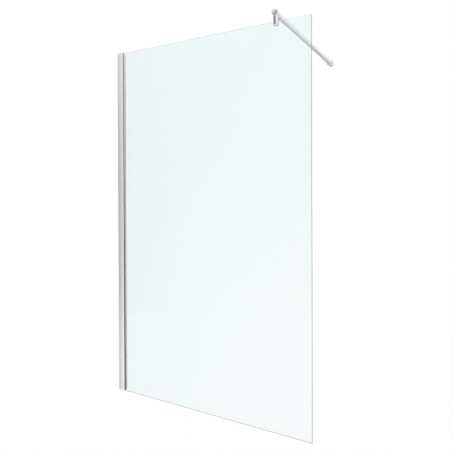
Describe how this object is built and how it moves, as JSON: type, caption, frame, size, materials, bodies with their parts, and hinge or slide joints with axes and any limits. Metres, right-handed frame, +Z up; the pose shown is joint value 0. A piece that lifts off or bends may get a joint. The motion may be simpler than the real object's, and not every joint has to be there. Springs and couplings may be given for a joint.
{
  "type": "walk-in shower screen",
  "caption": "Fixed frameless glass shower screen in a chrome-effect wall profile, held at the top by a round brace bar that runs back to a second wall.",
  "frame": {"origin": "on the wall behind the profile, at the foot of the profile, in the middle of the glass thickness", "axes": "+X from the wall along the glass to its free edge, +Y from the glass along the brace bar to the second wall, +Z up"},
  "size_m": [1.188, 0.9686, 2.0594],
  "materials": {
    "mill_aluminium": "satin extruded aluminium",
    "polished_aluminium": "polished bright anodised aluminium, chrome effect",
    "cap_plastic": "silver-grey moulded plastic",
    "clear_glass": "clear toughened glass with polished edges, faint green-blue tint",
    "gasket_rubber": "dark grey extruded glazing rubber",
    "stainless_steel": "turned stainless steel",
    "chrome": "bright chrome plate"
  },
  "bodies": {
    "wall_profile": {"wall_channel": "mill_aluminium"},
    "panel": {"glass_channel": "polished_aluminium", "channel_top_cap": "cap_plastic", "glass_panel": "clear_glass", "front_gasket": "gasket_rubber", "rear_gasket": "gasket_rubber", "adjuster_screws": "stainless_steel", "adjuster_plates": "stainless_steel", "adjuster_caps": "chrome"},
    "brace": {"clamp_body": "chrome", "clamp_gasket": "gasket_rubber", "clamp_pressure_plate": "stainless_steel", "clamp_screw": "stainless_steel", "bar_screw": "stainless_steel", "clamp_end_cap": "chrome", "brace_bar": "chrome"},
    "wall_end": {"brace_sleeve": "chrome", "sleeve_screw": "stainless_steel", "flange_base": "stainless_steel", "flange_screw": "stainless_steel"},
    "cover": {"flange_cover": "chrome"}
  },
  "joints": [
    {"name": "panel_adjust", "type": "slide", "parent": "wall_profile", "child": "panel", "axis": [1, 0, 0], "range_m": [0, 0.015]},
    {"name": "clamp_slide", "type": "slide", "parent": "panel", "child": "brace", "axis": [1, 0, 0], "range_m": [-0.6, 0.15]},
    {"name": "bar_telescope", "type": "slide", "parent": "brace", "child": "wall_end", "axis": [0, 1, 0], "range_m": [-0.04, 0.05]},
    {"name": "cover_slide", "type": "slide", "parent": "wall_end", "child": "cover", "axis": [0, -1, 0], "range_m": [0, 0.1]}
  ]
}
